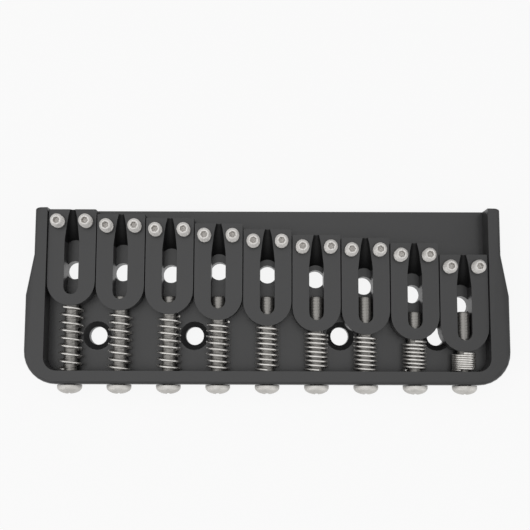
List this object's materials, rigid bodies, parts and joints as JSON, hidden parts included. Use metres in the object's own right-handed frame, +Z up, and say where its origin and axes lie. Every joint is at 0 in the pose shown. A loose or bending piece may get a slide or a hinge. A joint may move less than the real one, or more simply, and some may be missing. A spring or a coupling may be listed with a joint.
{
  "type": "fixed guitar bridge",
  "caption": "flat three-walled plate carrying a row of slotted saddles, each on an intonation screw with a coil spring and a pair of height screws",
  "frame": {"origin": "on the underside, in the middle of the row of mounting holes", "axes": "+X along the row of saddles from the first string to the last, +Y towards the neck, +Z up from the guitar's top"},
  "size_m": [0.1028, 0.0398, 0.0096],
  "materials": {
    "base_plate": "satin black",
    "saddle_1": "satin black",
    "intonation_screw_1": "bare steel",
    "spring_1": "bare spring wire",
    "height_screw_1a": "bare steel",
    "height_screw_1b": "bare steel",
    "saddle_2": "satin black",
    "intonation_screw_2": "bare steel",
    "spring_2": "bare spring wire",
    "height_screw_2a": "bare steel",
    "height_screw_2b": "bare steel",
    "saddle_3": "satin black",
    "intonation_screw_3": "bare steel",
    "spring_3": "bare spring wire",
    "height_screw_3a": "bare steel",
    "height_screw_3b": "bare steel",
    "saddle_4": "satin black",
    "intonation_screw_4": "bare steel",
    "spring_4": "bare spring wire",
    "height_screw_4a": "bare steel",
    "height_screw_4b": "bare steel",
    "saddle_5": "satin black",
    "intonation_screw_5": "bare steel",
    "spring_5": "bare spring wire",
    "height_screw_5a": "bare steel",
    "height_screw_5b": "bare steel",
    "saddle_6": "satin black",
    "intonation_screw_6": "bare steel",
    "spring_6": "bare spring wire",
    "height_screw_6a": "bare steel",
    "height_screw_6b": "bare steel",
    "saddle_7": "satin black",
    "intonation_screw_7": "bare steel",
    "spring_7": "bare spring wire",
    "height_screw_7a": "bare steel",
    "height_screw_7b": "bare steel",
    "saddle_8": "satin black",
    "intonation_screw_8": "bare steel",
    "spring_8": "bare spring wire",
    "height_screw_8a": "bare steel",
    "height_screw_8b": "bare steel",
    "saddle_9": "satin black",
    "intonation_screw_9": "bare steel",
    "spring_9": "bare spring wire",
    "height_screw_9a": "bare steel",
    "height_screw_9b": "bare steel"
  },
  "bodies": {
    "base": {"base_plate": "base_plate"},
    "spring_1": {"spring_1": "spring_1"},
    "intonation_screw_1": {"intonation_screw_1": "intonation_screw_1"},
    "saddle_1": {"saddle_1": "saddle_1"},
    "height_screw_1a": {"height_screw_1a": "height_screw_1a"},
    "height_screw_1b": {"height_screw_1b": "height_screw_1b"},
    "spring_2": {"spring_2": "spring_2"},
    "intonation_screw_2": {"intonation_screw_2": "intonation_screw_2"},
    "saddle_2": {"saddle_2": "saddle_2"},
    "height_screw_2a": {"height_screw_2a": "height_screw_2a"},
    "height_screw_2b": {"height_screw_2b": "height_screw_2b"},
    "spring_3": {"spring_3": "spring_3"},
    "intonation_screw_3": {"intonation_screw_3": "intonation_screw_3"},
    "saddle_3": {"saddle_3": "saddle_3"},
    "height_screw_3a": {"height_screw_3a": "height_screw_3a"},
    "height_screw_3b": {"height_screw_3b": "height_screw_3b"},
    "spring_4": {"spring_4": "spring_4"},
    "intonation_screw_4": {"intonation_screw_4": "intonation_screw_4"},
    "saddle_4": {"saddle_4": "saddle_4"},
    "height_screw_4a": {"height_screw_4a": "height_screw_4a"},
    "height_screw_4b": {"height_screw_4b": "height_screw_4b"},
    "spring_5": {"spring_5": "spring_5"},
    "intonation_screw_5": {"intonation_screw_5": "intonation_screw_5"},
    "saddle_5": {"saddle_5": "saddle_5"},
    "height_screw_5a": {"height_screw_5a": "height_screw_5a"},
    "height_screw_5b": {"height_screw_5b": "height_screw_5b"},
    "spring_6": {"spring_6": "spring_6"},
    "intonation_screw_6": {"intonation_screw_6": "intonation_screw_6"},
    "saddle_6": {"saddle_6": "saddle_6"},
    "height_screw_6a": {"height_screw_6a": "height_screw_6a"},
    "height_screw_6b": {"height_screw_6b": "height_screw_6b"},
    "spring_7": {"spring_7": "spring_7"},
    "intonation_screw_7": {"intonation_screw_7": "intonation_screw_7"},
    "saddle_7": {"saddle_7": "saddle_7"},
    "height_screw_7a": {"height_screw_7a": "height_screw_7a"},
    "height_screw_7b": {"height_screw_7b": "height_screw_7b"},
    "spring_8": {"spring_8": "spring_8"},
    "intonation_screw_8": {"intonation_screw_8": "intonation_screw_8"},
    "saddle_8": {"saddle_8": "saddle_8"},
    "height_screw_8a": {"height_screw_8a": "height_screw_8a"},
    "height_screw_8b": {"height_screw_8b": "height_screw_8b"},
    "spring_9": {"spring_9": "spring_9"},
    "intonation_screw_9": {"intonation_screw_9": "intonation_screw_9"},
    "saddle_9": {"saddle_9": "saddle_9"},
    "height_screw_9a": {"height_screw_9a": "height_screw_9a"},
    "height_screw_9b": {"height_screw_9b": "height_screw_9b"}
  },
  "joints": [
    {"name": "tilt_1", "type": "hinge", "parent": "base", "child": "spring_1", "pos_m": [-0.042, -0.00898, 0.0053], "axis": [1, 0, 0], "range_deg": [0, 3.44]},
    {"name": "turn_1", "type": "hinge", "parent": "spring_1", "child": "intonation_screw_1", "pos_m": [-0.042, -0.00898, 0.0053], "axis": [0, -1, 0], "range_deg": [-5490, 173]},
    {"name": "slide_1", "type": "slide", "parent": "spring_1", "child": "saddle_1", "axis": [0, 1, 0], "range_m": [-0.00968, 0.0003], "deforming": ["spring_1"]},
    {"name": "height_1a", "type": "slide", "parent": "saddle_1", "child": "height_screw_1a", "axis": [0, 0, 1], "range_m": [-0.00201, 0]},
    {"name": "height_1b", "type": "slide", "parent": "saddle_1", "child": "height_screw_1b", "axis": [0, 0, 1], "range_m": [-0.00201, 0]},
    {"name": "tilt_2", "type": "hinge", "parent": "base", "child": "spring_2", "pos_m": [-0.0315, -0.00898, 0.0053], "axis": [1, 0, 0], "range_deg": [0, 3.55]},
    {"name": "turn_2", "type": "hinge", "parent": "spring_2", "child": "intonation_screw_2", "pos_m": [-0.0315, -0.00898, 0.0053], "axis": [0, -1, 0], "range_deg": [-4923, 740]},
    {"name": "slide_2", "type": "slide", "parent": "spring_2", "child": "saddle_2", "axis": [0, 1, 0], "range_m": [-0.00868, 0.0013], "deforming": ["spring_2"]},
    {"name": "height_2a", "type": "slide", "parent": "saddle_2", "child": "height_screw_2a", "axis": [0, 0, 1], "range_m": [-0.00201, 0]},
    {"name": "height_2b", "type": "slide", "parent": "saddle_2", "child": "height_screw_2b", "axis": [0, 0, 1], "range_m": [-0.00201, 0]},
    {"name": "tilt_3", "type": "hinge", "parent": "base", "child": "spring_3", "pos_m": [-0.021, -0.00898, 0.0053], "axis": [1, 0, 0], "range_deg": [0, 3.64]},
    {"name": "turn_3", "type": "hinge", "parent": "spring_3", "child": "intonation_screw_3", "pos_m": [-0.021, -0.00898, 0.0053], "axis": [0, -1, 0], "range_deg": [-4470, 1193]},
    {"name": "slide_3", "type": "slide", "parent": "spring_3", "child": "saddle_3", "axis": [0, 1, 0], "range_m": [-0.00788, 0.0021], "deforming": ["spring_3"]},
    {"name": "height_3a", "type": "slide", "parent": "saddle_3", "child": "height_screw_3a", "axis": [0, 0, 1], "range_m": [-0.00201, 0]},
    {"name": "height_3b", "type": "slide", "parent": "saddle_3", "child": "height_screw_3b", "axis": [0, 0, 1], "range_m": [-0.00201, 0]},
    {"name": "tilt_4", "type": "hinge", "parent": "base", "child": "spring_4", "pos_m": [-0.0105, -0.00898, 0.0053], "axis": [1, 0, 0], "range_deg": [0, 3.79]},
    {"name": "turn_4", "type": "hinge", "parent": "spring_4", "child": "intonation_screw_4", "pos_m": [-0.0105, -0.00898, 0.0053], "axis": [0, -1, 0], "range_deg": [-3790, 1873]},
    {"name": "slide_4", "type": "slide", "parent": "spring_4", "child": "saddle_4", "axis": [0, 1, 0], "range_m": [-0.00668, 0.0033], "deforming": ["spring_4"]},
    {"name": "height_4a", "type": "slide", "parent": "saddle_4", "child": "height_screw_4a", "axis": [0, 0, 1], "range_m": [-0.00201, 0]},
    {"name": "height_4b", "type": "slide", "parent": "saddle_4", "child": "height_screw_4b", "axis": [0, 0, 1], "range_m": [-0.00201, 0]},
    {"name": "tilt_5", "type": "hinge", "parent": "base", "child": "spring_5", "pos_m": [0, -0.00898, 0.0053], "axis": [1, 0, 0], "range_deg": [0, 3.94]},
    {"name": "turn_5", "type": "hinge", "parent": "spring_5", "child": "intonation_screw_5", "pos_m": [0, -0.00898, 0.0053], "axis": [0, -1, 0], "range_deg": [-3109, 2554]},
    {"name": "slide_5", "type": "slide", "parent": "spring_5", "child": "saddle_5", "axis": [0, 1, 0], "range_m": [-0.00548, 0.0045], "deforming": ["spring_5"]},
    {"name": "height_5a", "type": "slide", "parent": "saddle_5", "child": "height_screw_5a", "axis": [0, 0, 1], "range_m": [-0.00201, 0]},
    {"name": "height_5b", "type": "slide", "parent": "saddle_5", "child": "height_screw_5b", "axis": [0, 0, 1], "range_m": [-0.00201, 0]},
    {"name": "tilt_6", "type": "hinge", "parent": "base", "child": "spring_6", "pos_m": [0.0105, -0.00898, 0.0053], "axis": [1, 0, 0], "range_deg": [0, 4.11]},
    {"name": "turn_6", "type": "hinge", "parent": "spring_6", "child": "intonation_screw_6", "pos_m": [0.0105, -0.00898, 0.0053], "axis": [0, -1, 0], "range_deg": [-2429, 3234]},
    {"name": "slide_6", "type": "slide", "parent": "spring_6", "child": "saddle_6", "axis": [0, 1, 0], "range_m": [-0.00428, 0.0057], "deforming": ["spring_6"]},
    {"name": "height_6a", "type": "slide", "parent": "saddle_6", "child": "height_screw_6a", "axis": [0, 0, 1], "range_m": [-0.00201, 0]},
    {"name": "height_6b", "type": "slide", "parent": "saddle_6", "child": "height_screw_6b", "axis": [0, 0, 1], "range_m": [-0.00201, 0]},
    {"name": "tilt_7", "type": "hinge", "parent": "base", "child": "spring_7", "pos_m": [0.021, -0.00898, 0.0053], "axis": [1, 0, 0], "range_deg": [0, 4.2]},
    {"name": "turn_7", "type": "hinge", "parent": "spring_7", "child": "intonation_screw_7", "pos_m": [0.021, -0.00898, 0.0053], "axis": [0, -1, 0], "range_deg": [-2089, 3574]},
    {"name": "slide_7", "type": "slide", "parent": "spring_7", "child": "saddle_7", "axis": [0, 1, 0], "range_m": [-0.00368, 0.0063], "deforming": ["spring_7"]},
    {"name": "height_7a", "type": "slide", "parent": "saddle_7", "child": "height_screw_7a", "axis": [0, 0, 1], "range_m": [-0.00201, 0]},
    {"name": "height_7b", "type": "slide", "parent": "saddle_7", "child": "height_screw_7b", "axis": [0, 0, 1], "range_m": [-0.00201, 0]},
    {"name": "tilt_8", "type": "hinge", "parent": "base", "child": "spring_8", "pos_m": [0.0315, -0.00898, 0.0053], "axis": [1, 0, 0], "range_deg": [0, 4.38]},
    {"name": "turn_8", "type": "hinge", "parent": "spring_8", "child": "intonation_screw_8", "pos_m": [0.0315, -0.00898, 0.0053], "axis": [0, -1, 0], "range_deg": [-1465, 2667]},
    {"name": "slide_8", "type": "slide", "parent": "spring_8", "child": "saddle_8", "axis": [0, 1, 0], "range_m": [-0.00258, 0.0047], "deforming": ["spring_8"]},
    {"name": "height_8a", "type": "slide", "parent": "saddle_8", "child": "height_screw_8a", "axis": [0, 0, 1], "range_m": [-0.00201, 0]},
    {"name": "height_8b", "type": "slide", "parent": "saddle_8", "child": "height_screw_8b", "axis": [0, 0, 1], "range_m": [-0.00201, 0]},
    {"name": "tilt_9", "type": "hinge", "parent": "base", "child": "spring_9", "pos_m": [0.042, -0.00898, 0.0053], "axis": [1, 0, 0], "range_deg": [0, 4.84]},
    {"name": "turn_9", "type": "hinge", "parent": "spring_9", "child": "intonation_screw_9", "pos_m": [0.042, -0.00898, 0.0053], "axis": [0, -1, 0], "range_deg": [-2, 3858]},
    {"name": "slide_9", "type": "slide", "parent": "spring_9", "child": "saddle_9", "axis": [0, 1, 0], "range_m": [0, 0.0068], "deforming": ["spring_9"]},
    {"name": "height_9a", "type": "slide", "parent": "saddle_9", "child": "height_screw_9a", "axis": [0, 0, 1], "range_m": [-0.00201, 0]},
    {"name": "height_9b", "type": "slide", "parent": "saddle_9", "child": "height_screw_9b", "axis": [0, 0, 1], "range_m": [-0.00201, 0]}
  ],
  "couplings": [
    {"joint": "turn_1", "follows": "slide_1", "rad_per_m": 9894.8},
    {"joint": "height_1a", "follows": "tilt_1", "m_per_rad": -0.033275},
    {"joint": "height_1b", "follows": "tilt_1", "m_per_rad": -0.033275},
    {"joint": "turn_2", "follows": "slide_2", "rad_per_m": 9894.8},
    {"joint": "height_2a", "follows": "tilt_2", "m_per_rad": -0.032275},
    {"joint": "height_2b", "follows": "tilt_2", "m_per_rad": -0.032275},
    {"joint": "turn_3", "follows": "slide_3", "rad_per_m": 9894.8},
    {"joint": "height_3a", "follows": "tilt_3", "m_per_rad": -0.031475},
    {"joint": "height_3b", "follows": "tilt_3", "m_per_rad": -0.031475},
    {"joint": "turn_4", "follows": "slide_4", "rad_per_m": 9894.8},
    {"joint": "height_4a", "follows": "tilt_4", "m_per_rad": -0.030275},
    {"joint": "height_4b", "follows": "tilt_4", "m_per_rad": -0.030275},
    {"joint": "turn_5", "follows": "slide_5", "rad_per_m": 9894.8},
    {"joint": "height_5a", "follows": "tilt_5", "m_per_rad": -0.029075},
    {"joint": "height_5b", "follows": "tilt_5", "m_per_rad": -0.029075},
    {"joint": "turn_6", "follows": "slide_6", "rad_per_m": 9894.8},
    {"joint": "height_6a", "follows": "tilt_6", "m_per_rad": -0.027875},
    {"joint": "height_6b", "follows": "tilt_6", "m_per_rad": -0.027875},
    {"joint": "turn_7", "follows": "slide_7", "rad_per_m": 9894.8},
    {"joint": "height_7a", "follows": "tilt_7", "m_per_rad": -0.027275},
    {"joint": "height_7b", "follows": "tilt_7", "m_per_rad": -0.027275},
    {"joint": "turn_8", "follows": "slide_8", "rad_per_m": 9894.8},
    {"joint": "height_8a", "follows": "tilt_8", "m_per_rad": -0.026175},
    {"joint": "height_8b", "follows": "tilt_8", "m_per_rad": -0.026175},
    {"joint": "turn_9", "follows": "slide_9", "rad_per_m": 9894.8},
    {"joint": "height_9a", "follows": "tilt_9", "m_per_rad": -0.023675},
    {"joint": "height_9b", "follows": "tilt_9", "m_per_rad": -0.023675}
  ]
}
